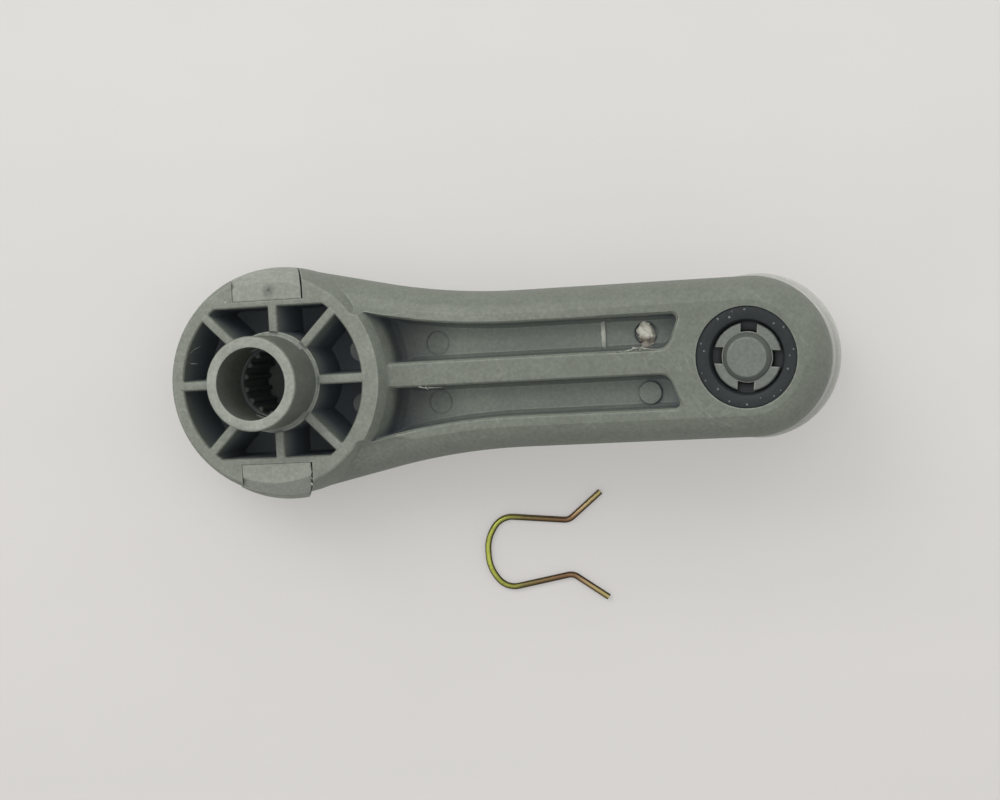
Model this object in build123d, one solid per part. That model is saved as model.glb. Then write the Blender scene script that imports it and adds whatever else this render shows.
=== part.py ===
"""A car window winder: a moulded crank arm with a splined hub at one end and a spinning knob at the other.

The part lies in its own frame. The origin is the centre of the hub boss's mouth, where the handle goes onto
the window spindle. +Z points out of the mouth, towards the door, and +X runs along the arm to the knob. The
boss, hub rim, ribs and channels are on the door side, and the knob hangs below, on the side of the hand.
Levels are heights above the plane of the hub rim, so a level is turned into z by height().
"""

import os
from math import asin, atan2, cos, pi, radians, sin, tan

from build123d import *

# Overall sizes
centre_distance = 96.0  # spindle axis to knob axis
hub_depth = 18.0  # hub rim down to the front edge of the hub
hub_radius = 23.3  # hub wall where it is widest
end_radius = 15.6  # half the arm's width, and the radius of its knob end
flank_angle = 12.4  # how much each side of the arm leans in as it leaves the hub
flank_blend = 129.0  # radius of the bend between the leaning side and the straight side
flank_inset = 0.3  # the sides leave the hub from this far inside its wall
arm_root_step = 2.6  # the arm begins this far inside the hub wall

# Boss and spindle socket
boss_height = 11.5  # boss mouth above the hub rim
boss_radius = 9.45
boss_edge_radius = 0.5
bore_radius = 7.25
bore_depth = 13.0  # smooth bore, from the mouth to the shoulder over the splined insert
collar_step = 0.75  # collar beyond the boss
collar_drop = 0.3  # collar edge below the hub rim
insert_step = 0.65  # the insert's pocket is this much wider than the smooth bore, all round
insert_drop = 0.4  # top of the insert below the end of the smooth bore
insert_wall = 1.15
insert_gap = 0.2  # between the insert and the cap under it
spline_teeth = 16
spline_tooth_height = 0.7
spline_root_width = 1.45
spline_tip_width = 0.6
press_clearance = 0.02

# Hub shell
rim_step = 1.5  # flat rim in from the widest wall, where no arm meets it
rim_width = 2.65
hub_wall_levels = [(-3.5, -0.45), (-7.7, 0.0), (-13.0, -0.45)]  # level and step in from hub_radius
front_edge_step = 2.2
chord_inner = 15.2  # spindle axis to the inner face of each straight wall
chord_wall = 1.25
web_thickness = 2.0
pocket_draft = 1.5
pocket_edge = 0.3  # bevel round the pockets at the rim
rib_count = 8
rib_top_width = 1.9
rib_foot_width = 2.9
rib_edge_radius = 0.45
rib_proud = 0.12  # ribs stand this much over the rim
rib_overlap = 0.9  # and run this far onto it
upright_rib_shift = 1.0  # the two ribs across the arm stand off the spindle axis, towards the arm
ejector_post_radius = 2.2
ejector_post_spread = 5.4
ejector_post_top = -6.0

# Arm
band_drop = 3.0  # flat back of the arm below the hub rim
arm_thickness = 12.5  # flat back to front face
saddle_top = (0.8, 0.0)  # how far out of the rim its edge falls towards the arm, and at which level
saddle_bend = (2.0, -2.3)
saddle_foot = 3.5
flank_bend = (7.0, -2.3)  # the same slope along the arm's sides, which is longer
flank_foot = 10.9
arm_back_round = [  # level, and step in from the widest outline
    (0.4, 7.7),
    (-2.2, 5.6),
    (-3.1, 4.2),
    (-4.0, 2.6),
    (-5.6, 1.15),
    (-8.6, 0.0),
]
arm_front_round = [(3.5, 0.5), (1.2, 1.9), (0.0, 4.4)]  # height over the front face, and step in
channel_edge_step = 6.4  # outer edge of the channels, in from the widest outline
centre_rib_width = 5.0
channel_depth = 7.0
channel_end_gap = 12.8  # from the knob's axis back to the end of the channels
channel_end_slant = 2.6
channel_inner_corner = 2.6
channel_outer_corner = 1.1
channel_draft = 3.0
channel_edge = 0.4  # rounding round the top of a channel
channel_foot = 0.7  # rounding round its floor
hub_wall_in_channels = [(2.0, -2.3), (3.2, -6.5), (3.6, -8.4), (4.6, -9.6), (6.2, -10.2)]  # out of the rim
ejector_mark_radius = 2.25
ejector_mark_depth = 0.2
hub_mark_places = [(32.4, 6.0), (32.4, -5.9)]  # from the spindle's axis
knob_post_place = (-20.3, -6.1)  # from the knob's axis
knob_post_height = 0.7
gate_hole_place = (-20.7, 5.6)
gate_hole_radius = 2.3
gate_hole_depth = 0.9
step_line_place = -29.2
step_line_depth = 0.25

# Knob bearing
recess_radius = 9.87
recess_depth = 3.3
bush_bore_radius = 5.0
bush_wall = 2.8
bush_seat_drop = 2.4  # flat under the hooks, below the flat back of the arm
bush_seat_margin = 0.2  # flat beyond the hooks
bush_slope_width = 0.5  # slope from the flat up to the crowned flange
bush_inner_drop = 0.55
bush_crown_drop = 0.3
bush_outer_drop = 0.38

# Knob
running_clearance = 0.08
face_clearance = 0.3
hook_clearance = 0.1
stem_wall = 0.9
hook_reach = 1.73
hook_height = 1.0
hook_lead = 0.3
notch_width = 3.2
notch_turn = -6.0
pin_clearance = 0.17
pin_head_reach = 0.73  # pin head beyond the stem's bore
pin_head_height = 0.95
pin_length = 16.0
knob_height = 28.0
knob_base_radius = 13.4
knob_waist_radius = 11.9
knob_end_radius = 12.6
knob_end_rounding = 3.6
knob_skin = 1.8
trim_reach = 2.9  # trim ring beyond the knob's base
trim_step = 0.85
trim_top_height = 1.9
trim_height = 3.8

# Hub cap
cap_step = 3.3  # cap in from the widest hub wall
cap_seat_depth = 2.2
cap_clearance = 0.1
cap_dome = 1.4
cap_flat_radius = 1.2
tongue_width = 14.8
tongue_lean = 0.45  # each tongue leans back by this much for each millimetre that it goes down
tongue_lean_level = -9.0
tongue_gap_tight = 0.05
tongue_gap_open = 0.3
tongue_drop = 0.12
tongue_edge = (-1.4, 0.5, -1.9)  # bevel of a tongue's outer edge: from the rim's radius, and its lower level
lip_proud = 1.0
lip_levels = (-7.6, -11.0)
dimple_radius = 0.55
dimple_place = (0.4, -3.4)  # across the handle, and in from the rim's radius

# Retaining clip
wire_diameter = 1.3
slot_height = 1.7
slot_chord = 6.3
slot_floor = 0.0
clip_half = [(24.6, 11.2), (17.5, 5.7), (3.2, 7.7), (0.0, 3.0)]  # corners from one tip to the bow
clip_bends = [2.6, 4.4, 8.0]
clip_place = (57.2, -39.0)  # along and across the flat that the loose handle lies on
clip_turn = 1.6


def height(level):
    """z of a level that is counted from the plane of the hub rim."""
    return level - boss_height


# Sizes that follow from the others
band_level = -band_drop
arm_front_level = band_level - arm_thickness
cap_seat_level = cap_seat_depth - hub_depth
web_top_level = cap_seat_level + web_thickness
bore_end_level = boss_height - bore_depth
insert_top_level = bore_end_level - insert_drop
insert_foot_level = cap_seat_level + insert_gap
collar_radius = boss_radius + collar_step
insert_radius = bore_radius + insert_step
spline_root_radius = insert_radius - insert_wall
spline_tip_radius = spline_root_radius - spline_tooth_height
rim_radius = hub_radius - rim_step
rim_inner_radius = rim_radius - rim_width
cap_radius = hub_radius - cap_step
sleeve_radius = bush_bore_radius + bush_wall
stem_radius = bush_bore_radius - running_clearance
stem_bore_radius = stem_radius - stem_wall
hook_radius = stem_radius + hook_reach
pin_radius = stem_bore_radius - pin_clearance
pin_head_radius = stem_bore_radius + pin_head_reach
trim_radius = knob_base_radius + trim_reach
knob_axis = (centre_distance, 0)


def disc(radius, low, high, centre=(0, 0)):
    """A plain cylinder between two levels."""
    at = Location((centre[0], centre[1], height(low)))
    return at * Cylinder(radius, high - low, align=(Align.CENTER, Align.CENTER, Align.MIN))


def turned(points, centre=(0, 0)):
    """A ring or disc turned from a profile of (radius, level) points about an upright axis."""
    profile = Polyline(*[(r, 0, height(level)) for r, level in points], close=True)
    solid = revolve(make_face(profile), axis=Axis.Z)
    return Location((centre[0], centre[1], 0)) * solid


def arm_outline(step):
    """The arm seen from the door side, stepped in from its widest outline, as one closed wire."""
    lean = radians(flank_angle)
    hub = hub_radius - flank_inset - step
    end = end_radius - step
    blend = flank_blend + step
    leave = (hub * sin(lean), hub * cos(lean))
    corner = leave[0] + (leave[1] - end) / tan(lean)
    reach = blend * tan(lean / 2)
    bend_start = (corner - reach * cos(lean), end + reach * sin(lean))
    bend_end = (corner + reach, end)
    bend_middle = (
        bend_end[0] - blend * sin(lean / 2),
        end + blend * (1 - cos(lean / 2)),
    )
    shoulder = (centre_distance, end)
    upper = [
        Line(leave, bend_start),
        ThreePointArc(bend_start, bend_middle, bend_end),
        Line(bend_end, shoulder),
    ]
    lower = [edge.mirror(Plane.XZ) for edge in upper]
    nose = ThreePointArc(shoulder, (centre_distance + end, 0), (centre_distance, -end))
    root = Line(leave, (leave[0], -leave[1]))
    return Wire([*upper, nose, *lower, root])


def arm_bar():
    """The arm without its channels: one smooth skin through the stepped outlines, with a flat back."""
    steps = arm_back_round + [(arm_front_level + up, step) for up, step in arm_front_round]
    return loft([Location((0, 0, height(level))) * make_face(arm_outline(step)) for level, step in steps])


def channel_outline(step):
    """One channel seen from the door side: straight along the centre rib, bent along the arm's side."""
    side = make_face(arm_outline(channel_edge_step + step))
    inner = centre_rib_width / 2 + step
    outer = end_radius - channel_edge_step
    far = centre_distance - channel_end_gap - step
    slant = channel_end_slant / (outer - centre_rib_width / 2)
    window = Polyline(
        (rim_radius / 2, inner),
        (far - channel_end_slant, inner),
        (far + slant * (hub_radius - outer), hub_radius),
        (rim_radius / 2, hub_radius),
        close=True,
    )
    region = side & make_face(window)
    inner_corner = region.vertices().filter_by_position(Axis.X, far / 2, far).sort_by(Axis.Y)[0]
    region = fillet(inner_corner, channel_inner_corner - step / 2)
    outer_corner = region.vertices().sort_by(Axis.X)[-1]
    return fillet(outer_corner, channel_outer_corner - step / 3)


def channel(side):
    """One channel as the solid that it takes away: drafted walls, rounded top and foot."""
    depth_step = channel_depth * tan(radians(channel_draft))
    steps = [
        (0.0, -channel_edge),
        (-channel_edge, 0.0),
        (-channel_depth + channel_foot, depth_step),
        (-channel_depth, depth_step + channel_foot),
    ]
    layers = [
        Location((0, 0, height(band_level + drop))) * channel_outline(step) for drop, step in steps
    ]
    cut = loft(layers, ruled=True)
    cut += extrude(layers[0], band_drop)
    wall = [saddle_crest(saddle_bend)]
    wall += [(rim_radius + out, level) for out, level in hub_wall_in_channels]
    cut -= turned([(0, wall[0][1]), *wall, (0, wall[-1][1])])
    if side < 0:
        cut = cut.mirror(Plane.XZ)
    return cut


def saddle_crest(bend):
    """Where the slope from the rim to a bend would be a millimetre over the rim, as radius and level."""
    slope = (bend[0] - saddle_top[0]) / (saddle_top[1] - bend[1])
    return (rim_radius + saddle_top[0] - slope, saddle_top[1] + 1)


def saddle_cutter(bend, foot):
    """All that lies above the arm's flat back outside the rim, with a sloping side and a hollow foot."""
    reach = 2 * (centre_distance + end_radius)
    crest = saddle_crest(bend)
    fall = atan2(saddle_top[1] - bend[1], bend[0] - saddle_top[0])
    across = foot - bend[0]
    down = bend[1] - band_level
    sag = tan(fall / 4) / 2
    top = (crest[0], 0, height(crest[1]))
    start = (rim_radius + bend[0], 0, height(bend[1]))
    middle = (start[0] + across / 2 - down * sag, 0, start[2] - down / 2 - across * sag)
    end = (rim_radius + foot, 0, height(band_level))
    profile = [
        Line(top, start),
        ThreePointArc(start, middle, end),
        Line(end, (reach, 0, end[2])),
        Line((reach, 0, end[2]), (reach, 0, top[2])),
        Line((reach, 0, top[2]), top),
    ]
    return revolve(make_face(Wire(profile)), axis=Axis.Z)


def hub_shell():
    """The round hub as a full solid, with a flared wall and rounded edges."""
    wall = [(rim_radius, -0.45)]
    wall += [(hub_radius + step, level) for level, step in hub_wall_levels]
    wall += [(hub_radius - front_edge_step, -hub_depth)]
    points = [(r, 0, height(level)) for r, level in wall]
    shoulder = (rim_radius - 0.12, 0, height(-0.18))
    rim = (rim_radius - 0.5, 0, height(0))
    profile = [
        Line(rim, shoulder),
        Line(shoulder, points[0]),
        Spline(*points),
        Line(points[-1], (0, 0, height(-hub_depth))),
        Line((0, 0, height(-hub_depth)), (0, 0, height(0))),
        Line((0, 0, height(0)), rim),
    ]
    return revolve(make_face(Wire(profile)), axis=Axis.Z)


def hub_tub(top, low):
    """The inside of the hub between two (step, level) pairs: a cone cut off by the two straight walls."""
    side = [(rim_inner_radius + step, level) for step, level in (top, low)]
    cone = turned([(0, top[1]), *side, (0, low[1])])
    between = Polyline(
        (0, chord_inner + top[0], height(top[1])),
        (0, chord_inner + low[0], height(low[1])),
        (0, -chord_inner - low[0], height(low[1])),
        (0, -chord_inner - top[0], height(top[1])),
        close=True,
    )
    return cone & extrude(make_face(between), 2 * hub_radius, dir=(1, 0, 0), both=True)


def hollow_hub():
    """The hub's round wall, its two straight walls and its web, with drafted walls and a bevelled rim."""
    draft = tan(radians(pocket_draft))
    hub = hub_shell()
    hub -= hub_tub((draft, 1), (web_top_level * draft, web_top_level))
    hub -= hub_tub((2 * pocket_edge, pocket_edge), (-pocket_edge / 2, -1.5 * pocket_edge))
    return hub


def hub_rib(index):
    """One rib from the boss to the rim, thicker at its foot and rounded along its top."""
    half_top = rib_top_width / 2
    half_foot = rib_foot_width / 2
    top = height(rib_proud)
    foot = height(web_top_level - 0.5)
    section = Polyline(
        (0, -half_top, top),
        (0, half_top, top),
        (0, half_foot, foot),
        (0, -half_foot, foot),
        close=True,
    )
    turn = index * 360 / rib_count
    upright = index % 4 == 2
    reach = chord_inner + chord_wall if upright else rim_inner_radius + rib_overlap
    if not upright and index % 2:
        reach = rim_inner_radius + pocket_edge
    rib = extrude(make_face(section), reach, dir=(1, 0, 0))
    edges = rib.edges().filter_by(Axis.X).group_by(Axis.Z)[-1]
    rib = fillet(edges, rib_edge_radius)
    shift = upright_rib_shift if upright else 0
    return Location((shift, 0, 0)) * (Rot(0, 0, turn) * rib)


def ejector_posts():
    """Two round posts against the pocket walls beside the arm, where the moulding was pushed out."""
    reach = (rim_inner_radius**2 - ejector_post_spread**2) ** 0.5
    posts = []
    for side in (-1, 1):
        centre = (reach - ejector_post_radius / 2, side * ejector_post_spread)
        posts.append(disc(ejector_post_radius, web_top_level - 0.5, ejector_post_top, centre))
    return posts


def clip_slots():
    """The two slots across the boss just above the collar, one for each leg of the retaining clip."""
    ring = disc(collar_radius, slot_floor, slot_floor + slot_height)
    middle = Box(2 * hub_radius, 2 * slot_chord, 4 * boss_height)
    return ring - middle


def tongue_block(side, left_gap, right_gap, inner_gap):
    """The space of one tongue between its leaning sides, outside the straight wall of the hub."""
    left = -tongue_width / 2 - left_gap
    right = tongue_width / 2 + right_gap
    lean = tongue_lean * -tongue_lean_level
    rise = tongue_lean
    outline = Polyline(
        (left + rise, 0, height(1)),
        (right + rise, 0, height(1)),
        (right - lean, 0, height(tongue_lean_level)),
        (right - lean, 0, height(-hub_depth - 2)),
        (left - lean, 0, height(-hub_depth - 2)),
        (left - lean, 0, height(tongue_lean_level)),
        close=True,
    )
    low = chord_inner + chord_wall + inner_gap
    block = extrude(make_face(outline), 2 * hub_radius, dir=(0, side, 0))
    return Location((0, side * low, 0)) * block


def crank_arm():
    """The arm, hub, ribs, collar and boss, moulded in one."""
    arm = arm_bar() - saddle_cutter(flank_bend, flank_foot)
    between = end_radius - channel_edge_step + centre_rib_width / 2
    arm -= saddle_cutter(saddle_bend, saddle_foot) & Box(4 * centre_distance, between, 4 * hub_depth)
    for side in (-1, 1):
        arm -= channel(side)
    step = Location((0, 0, -step_line_depth)) * channel(1)
    keep = Location((centre_distance + step_line_place, 0, 0)) * Box(
        centre_distance, centre_distance, 4 * hub_depth, align=(Align.MIN, Align.CENTER, Align.CENTER)
    )
    arm -= step & keep
    arm -= disc(hub_radius - arm_root_step, -hub_depth - 1, 2)
    arm -= disc(2 * centre_distance, 0, 2)
    arm += hollow_hub()
    ribs = [hub_rib(index) for index in range(rib_count)]
    for rib in ribs:
        arm += rib
    for post in ejector_posts():
        arm += post
    arm += disc(collar_radius, web_top_level - 0.5, -collar_drop)
    arm -= disc(collar_radius, -collar_drop, 1)
    edge = boss_edge_radius
    arm += turned(
        [
            (0, web_top_level),
            (boss_radius, web_top_level),
            (boss_radius, boss_height - edge),
            (boss_radius - 0.07 * edge / 0.5, boss_height - 0.5 * edge),
            (boss_radius - 0.5 * edge, boss_height - 0.07 * edge / 0.5),
            (boss_radius - edge, boss_height),
            (0, boss_height),
        ]
    )
    arm -= disc(bore_radius, bore_end_level, boss_height + 1)
    arm -= disc(insert_radius, -hub_depth, bore_end_level)
    arm -= clip_slots()
    arm -= disc(cap_radius + cap_clearance, -hub_depth - 1, cap_seat_level)
    for side in (-1, 1):
        arm -= tongue_block(side, tongue_gap_tight, tongue_gap_open, 0)
    arm -= disc(recess_radius, band_level - recess_depth, band_level + 1, knob_axis)
    arm -= disc(sleeve_radius, arm_front_level - 1, band_level, knob_axis)
    floor = band_level - channel_depth
    for place in hub_mark_places:
        arm -= disc(ejector_mark_radius, floor - ejector_mark_depth, floor + 0.5, place)
    post = (centre_distance + knob_post_place[0], knob_post_place[1])
    arm += disc(ejector_mark_radius, floor - 1, floor + knob_post_height, post)
    gate = (centre_distance + gate_hole_place[0], gate_hole_place[1])
    arm -= disc(gate_hole_radius, floor - gate_hole_depth, floor + 0.5, gate)
    return arm


def spline_insert():
    """The splined sleeve at the bottom of the bore, which grips the spindle."""
    top = insert_top_level
    foot = insert_foot_level
    sleeve = disc(insert_radius - press_clearance, foot, top)
    sleeve -= disc(spline_root_radius, foot - 1, top + 1)
    lead = spline_root_radius + 0.3
    sleeve -= turned([(0, top), (lead, top), (spline_root_radius, top - 0.3), (0, top - 0.3)])
    root = spline_root_radius + 0.15
    tooth = Polygon(
        (root, -spline_root_width / 2),
        (root, spline_root_width / 2),
        (spline_tip_radius, spline_tip_width / 2),
        (spline_tip_radius, -spline_tip_width / 2),
        align=None,
    )
    blank = extrude(Location((0, 0, height(foot))) * tooth, top - foot - 0.5)
    for index in range(spline_teeth):
        sleeve += Rot(0, 0, (index + 0.5) * 360 / spline_teeth) * blank
    return sleeve


def hub_cap():
    """The front cap of the hub: a domed disc with two tongues that fill the notches in the hub wall."""
    low = -hub_depth
    edge = cap_radius
    sphere = (edge**2 + cap_dome**2) / (2 * cap_dome)
    middle = (edge / 2, 0, height(low - cap_dome + sphere - (sphere**2 - edge**2 / 4) ** 0.5))
    profile = [
        Line((0, 0, height(cap_seat_level)), (edge, 0, height(cap_seat_level))),
        Line((edge, 0, height(cap_seat_level)), (edge, 0, height(low))),
        ThreePointArc((edge, 0, height(low)), middle, (cap_flat_radius, 0, height(low - cap_dome))),
        Line((cap_flat_radius, 0, height(low - cap_dome)), (0, 0, height(low - cap_dome))),
        Line((0, 0, height(low - cap_dome)), (0, 0, height(cap_seat_level))),
    ]
    cap = revolve(make_face(Wire(profile)), axis=Axis.Z)
    lip_top, lip_foot = lip_levels
    ridge = turned(
        [
            (0, lip_top),
            (hub_radius - 0.4, lip_top),
            (hub_radius + lip_proud - 0.2, lip_top - 0.7),
            (hub_radius + lip_proud, lip_top - 1.1),
            (hub_radius + lip_proud - 0.3, lip_foot + 1.2),
            (hub_radius - 0.6, lip_foot),
            (0, lip_foot),
        ]
    )
    inner_edge, outer_edge, edge_foot = tongue_edge
    bevel = turned(
        [
            (0, 1),
            (rim_radius + inner_edge, 1),
            (rim_radius + inner_edge, -tongue_drop),
            (rim_radius + outer_edge, edge_foot),
            (2 * hub_radius, edge_foot),
            (2 * hub_radius, -hub_depth - 4),
            (0, -hub_depth - 4),
        ]
    )
    wall = (hub_shell() & bevel) - disc(2 * hub_radius, -tongue_drop, 1)
    cap += wall & tongue_block(1, 0, 0, tongue_gap_tight)
    cap += (wall + ridge) & tongue_block(-1, 0, 0, tongue_gap_tight)
    x, inward = dimple_place
    point = Location((x, rim_radius + inward, height(-tongue_drop - 0.35)))
    cap -= point * Cone(0.05, dimple_radius, 0.4, align=(Align.CENTER, Align.CENTER, Align.MIN))
    return cap


def pivot_bush():
    """The dark bush that the knob's stem turns in: a sleeve through the arm under a crowned flange."""
    floor = band_level - recess_depth
    seat = band_level - bush_seat_drop
    seat_radius = hook_radius + bush_seat_margin
    inner = seat_radius + bush_slope_width
    sleeve = sleeve_radius - press_clearance
    edge = recess_radius - press_clearance
    points = [
        (sleeve, floor),
        (sleeve, arm_front_level),
        (bush_bore_radius, arm_front_level),
        (bush_bore_radius, seat),
        (seat_radius, seat),
        (inner, band_level - bush_inner_drop),
    ]
    flange = [(edge, band_level - bush_outer_drop), (edge, floor), points[0]]
    start = (points[-1][0], 0, height(points[-1][1]))
    crown = ((inner + edge) / 2, 0, height(band_level - bush_crown_drop))
    end = (flange[0][0], 0, height(flange[0][1]))
    below = Polyline(*[(r, 0, height(level)) for r, level in points])
    beside = Polyline(*[(r, 0, height(level)) for r, level in flange])
    profile = below.edges() + [ThreePointArc(start, crown, end)] + beside.edges()
    bush = revolve(make_face(Wire(profile)), axis=Axis.Z)
    return Location((centre_distance, 0, 0)) * bush


def knob_base_level():
    """The face of the knob that runs against the arm's front."""
    return arm_front_level - face_clearance


def knob():
    """The grip and its stem in one hollow moulding, open towards the arm, with four hooks on the stem."""
    seat = band_level - bush_seat_drop + hook_clearance
    hook_top = seat + hook_height
    base = knob_base_level()
    skin_top = base - trim_height
    end = base - knob_height
    waist = (skin_top + end) / 2 + 1
    rounding = knob_end_rounding
    outer = [
        (knob_base_radius, 0, height(skin_top)),
        (knob_waist_radius, 0, height(waist)),
        (knob_end_radius, 0, height(end + rounding)),
    ]
    tip = (knob_end_radius - rounding, 0, height(end))
    corner = (
        knob_end_radius - rounding * (1 - cos(pi / 4)),
        0,
        height(end + rounding * (1 - sin(pi / 4))),
    )
    grip = revolve(
        make_face(
            Wire(
                [
                    Line((0, 0, height(skin_top)), outer[0]),
                    ThreePointArc(*outer),
                    ThreePointArc(outer[2], corner, tip),
                    Line(tip, (0, 0, height(end))),
                    Line((0, 0, height(end)), (0, 0, height(skin_top))),
                ]
            )
        ),
        axis=Axis.Z,
    )
    grip -= disc(knob_waist_radius - knob_skin, end + knob_skin + rounding / 2, skin_top + 1)
    bottom = end + knob_skin + rounding / 2
    stem = turned(
        [
            (0, bottom - 0.5),
            (stem_radius, bottom - 0.5),
            (stem_radius, seat),
            (hook_radius, seat),
            (hook_radius, hook_top - hook_lead),
            (hook_radius - hook_lead, hook_top),
            (0, hook_top),
        ]
    )
    stem -= disc(stem_bore_radius, hook_top - pin_length - 1, hook_top + 1)
    notches = disc(2 * hook_radius, seat - 1, hook_top + 1) - disc(stem_radius, seat - 2, hook_top + 2)
    for turn in (notch_turn, notch_turn + 90):
        bar = Rot(0, 0, turn) * Box(4 * hook_radius, notch_width, 4 * knob_height)
        stem -= notches & bar
    return Location((centre_distance, 0, 0)) * (grip + stem)


def knob_pin():
    """The pin pressed into the stem, which keeps the hooks from closing. Its head is a low cone."""
    hook_top = band_level - bush_seat_drop + hook_clearance + hook_height
    return turned(
        [
            (0, hook_top + pin_head_height),
            (pin_radius - 0.15, hook_top + pin_head_height),
            (pin_radius, hook_top + pin_head_height - 0.1),
            (pin_head_radius, hook_top + 0.1),
            (pin_head_radius, hook_top),
            (pin_radius, hook_top),
            (pin_radius, hook_top - pin_length),
            (0, hook_top - pin_length),
        ],
        knob_axis,
    )


def knob_trim_ring():
    """The pale stepped ring that closes the knob's open end and runs against the arm."""
    top = knob_base_level()
    step = top - trim_top_height
    foot = top - trim_height
    inner = stem_radius + press_clearance
    small = trim_radius - trim_step
    spigot = knob_waist_radius - knob_skin - press_clearance
    return turned(
        [
            (inner, top),
            (small - 0.3, top),
            (small, top - 0.3),
            (small, step),
            (trim_radius - 0.2, step),
            (trim_radius, step - 0.25),
            (trim_radius, foot + 0.4),
            (trim_radius - 0.5, foot),
            (spigot, foot),
            (spigot, foot - 1.2),
            (spigot - 1.2, foot - 1.2),
            (spigot - 1.2, foot + 1.6),
            (inner, foot + 1.6),
        ],
        knob_axis,
    )


def table_plane():
    """The flat that the loose handle lies on: under the hub's front edge and the rounded end of the knob."""
    hub_low = (-(hub_radius - front_edge_step), height(-hub_depth))
    rounding = knob_end_rounding
    centre = (
        centre_distance - knob_end_radius + rounding,
        height(knob_base_level() - knob_height + rounding),
    )
    run = centre[0] - hub_low[0]
    drop = hub_low[1] - centre[1]
    tilt = atan2(drop, run) + asin(rounding / (run**2 + drop**2) ** 0.5)
    return Plane(
        origin=(hub_low[0], 0, hub_low[1]),
        x_dir=(cos(tilt), 0, -sin(tilt)),
        z_dir=(sin(tilt), 0, cos(tilt)),
    )


def retaining_clip():
    """The wire clip for the boss's slots, lying loose beside the arm on the flat that the handle lies on."""
    corners = clip_half + [(x, -y) for x, y in reversed(clip_half)]
    path = FilletPolyline(*corners, radius=clip_bends + clip_bends[::-1])
    start = Plane(origin=path @ 0, z_dir=path % 0)
    wire = sweep(start * Circle(wire_diameter / 2), path=path)
    place = table_plane() * Location((*clip_place, wire_diameter / 2), (0, 0, clip_turn))
    return place * wire


def save(name, solid):
    """Write one piece as parts/name.step."""
    export_step(solid, f"parts/{name}.step")


if __name__ == "__main__":
    os.makedirs("parts", exist_ok=True)
    save("crank_arm", crank_arm())
    save("spline_insert", spline_insert())
    save("hub_cap", hub_cap())
    save("pivot_bush", pivot_bush())
    save("knob", knob())
    save("knob_pin", knob_pin())
    save("knob_trim_ring", knob_trim_ring())
    save("retaining_clip", retaining_clip())
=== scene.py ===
# %% [markdown]
# # A car window's crank handle
# The handle is a ribbed hub, an arm with two channels and a knob on a stem, all moulded plastic, with a
# bent wire clip that locks it to its spindle. The solid parts come in ready made, in metres and in their
# own frame, and everything here is added to that frame: finishes, moulding marks, a table and soft light.

import bmesh
import bpy
from math import atan2, cos, degrees, hypot, pi, radians, sin
from mathutils import Matrix, Vector, noise


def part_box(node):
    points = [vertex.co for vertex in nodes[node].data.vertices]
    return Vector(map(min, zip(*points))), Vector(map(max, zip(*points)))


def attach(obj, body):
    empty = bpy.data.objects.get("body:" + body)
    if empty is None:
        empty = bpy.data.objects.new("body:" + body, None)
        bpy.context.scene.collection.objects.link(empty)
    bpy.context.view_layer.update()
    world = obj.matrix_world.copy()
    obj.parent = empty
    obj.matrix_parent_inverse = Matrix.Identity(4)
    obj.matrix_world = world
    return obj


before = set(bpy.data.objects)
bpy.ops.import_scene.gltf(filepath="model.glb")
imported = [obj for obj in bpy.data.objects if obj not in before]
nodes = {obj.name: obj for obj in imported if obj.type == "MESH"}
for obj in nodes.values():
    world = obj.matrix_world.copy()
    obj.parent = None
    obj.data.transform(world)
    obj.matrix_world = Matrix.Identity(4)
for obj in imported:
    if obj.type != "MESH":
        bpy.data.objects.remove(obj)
scene = bpy.context.scene
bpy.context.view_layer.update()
print("parts:", ", ".join(sorted(nodes)))

# %% [markdown]
# Sizes are easier to read in millimetres, so two helpers turn them into metres. Heights are given as levels
# over the flat rim of the hub, which lies a fixed drop below the mouth of the boss, where the frame has its
# origin. The arm's flat back lies a little under the rim.

# %% Millimetres and levels
BOSS_HEIGHT = 11.5
ARM_BACK = -3.0
KNOB_AXIS = (96.0, 0.0)


def mm(*values):
    """A point in metres from millimetres."""
    return Vector(values) / 1000


def at(x, y, level):
    """A point in metres, with its height given as a level over the hub's rim."""
    return mm(x, y, level - BOSS_HEIGHT)


def height_at(level):
    """The height in metres of a level over the hub's rim."""
    return (level - BOSS_HEIGHT) / 1000


print("the hub's rim lies at", height_at(0), "m and the arm's back at", height_at(ARM_BACK), "m")

# %% [markdown]
# ## Where the eye is
# The handle is seen almost straight down on its back. The camera is turned by three small angles about a
# point on the arm, so that tilt, lean and roll can each be changed alone. Its lens is a long one, which
# keeps the hub and the knob end in proportion.

# %% Camera
TILT, LEAN, ROLL = radians(15.45), radians(1.54), radians(3.21)
EYE_DISTANCE = 0.43397
AIM = at(47.54, -5.84, 0)
LENS_MM, SENSOR_MM = 79.68, 36

turn = (
    Matrix.Rotation(ROLL, 3, "Z")
    @ Matrix.Rotation(LEAN, 3, "X")
    @ Matrix.Rotation(-TILT, 3, "Y")
)
camera_data = bpy.data.cameras.new("camera")
camera_data.lens = LENS_MM
camera_data.sensor_width = SENSOR_MM
camera_data.clip_start, camera_data.clip_end = 0.01, 50
camera = bpy.data.objects.new("camera", camera_data)
scene.collection.objects.link(camera)
view_frame = turn.transposed()
eye = AIM + view_frame @ Vector((0, 0, EYE_DISTANCE))
camera.matrix_world = Matrix.Translation(eye) @ view_frame.to_4x4()
scene.camera = camera
print("camera at", [round(v, 4) for v in eye])
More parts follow.
